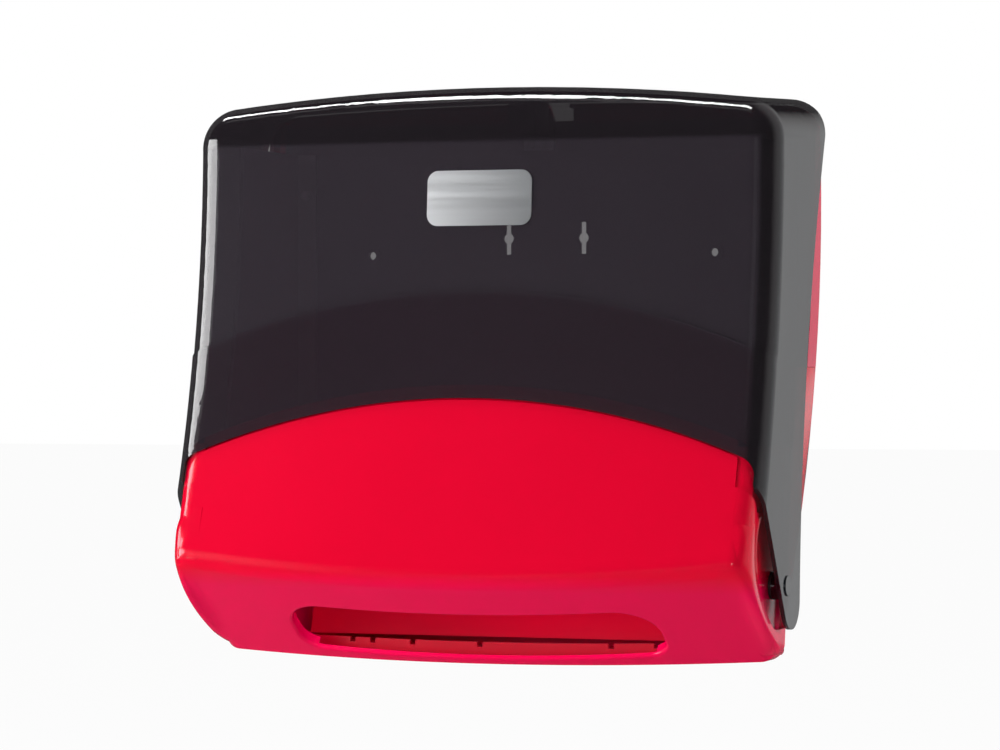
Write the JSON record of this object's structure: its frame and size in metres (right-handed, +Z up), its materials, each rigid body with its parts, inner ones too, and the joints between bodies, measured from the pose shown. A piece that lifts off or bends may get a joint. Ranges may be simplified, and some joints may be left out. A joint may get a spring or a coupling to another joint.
{
  "type": "industrial wiper dispenser",
  "caption": "Wall-mounted dispenser for folded wipers: red lower housing with a pulling slot underneath, and a smoke-tinted cover that swings forward on low hinge pins.",
  "frame": {"origin": "middle of the wall face, at the height of the part's lowest edge", "axes": "+X to the right as seen from the front, +Y back into the wall, +Z up"},
  "size_m": [0.427, 0.2031, 0.399],
  "materials": {
    "red_shell": "glossy moulded red",
    "smoke_tint": "glossy translucent smoke",
    "plate_red": "glossy moulded red rim, darker satin field",
    "inner_grey": "satin mid grey",
    "black_plastic": "fine matte",
    "bush_plastic": "waxy black",
    "ramp_red": "glossy moulded red",
    "zinc_sheet": "satin zinc",
    "lock_steel": "satin nickel",
    "screw_steel": "zinc plated",
    "badge_metal": "satin, blank"
  },
  "bodies": {
    "housing": {"back_plate": "plate_red", "lower_front": "red_shell", "hinge_bush_left": "bush_plastic", "hinge_bush_right": "bush_plastic", "pack_guide_left": "inner_grey", "pack_guide_right": "inner_grey", "lock_strike": "zinc_sheet", "wiper_shelf": "inner_grey", "rear_ramp": "ramp_red", "dispensing_floor": "ramp_red", "body_screws": "screw_steel", "guide_screws": "screw_steel", "shelf_screws": "screw_steel", "strike_screws": "screw_steel"},
    "cover": {"smoke_cover": "smoke_tint", "badge_plate": "badge_metal", "hinge_pin_left": "black_plastic", "hinge_pin_right": "black_plastic", "hinge_clips": "lock_steel", "lock_body": "black_plastic"},
    "key_plug": {"lock_insert": "lock_steel"},
    "bolt": {"lock_bolt": "lock_steel"}
  },
  "joints": [
    {"name": "cover_hinge", "type": "hinge", "parent": "housing", "child": "cover", "pos_m": [0, -0.112, 0.0574], "axis": [1, 0, 0], "range_deg": [0, 95]},
    {"name": "lock_turn", "type": "hinge", "parent": "cover", "child": "key_plug", "pos_m": [0, -0.032, 0.3844], "axis": [0, 0, 1], "range_deg": [0, 90]},
    {"name": "bolt_slide", "type": "slide", "parent": "cover", "child": "bolt", "axis": [0, 1, 0], "range_m": [0, 0.0055]}
  ],
  "couplings": [
    {"joint": "bolt_slide", "follows": "lock_turn", "m_per_rad": 0.0035}
  ]
}
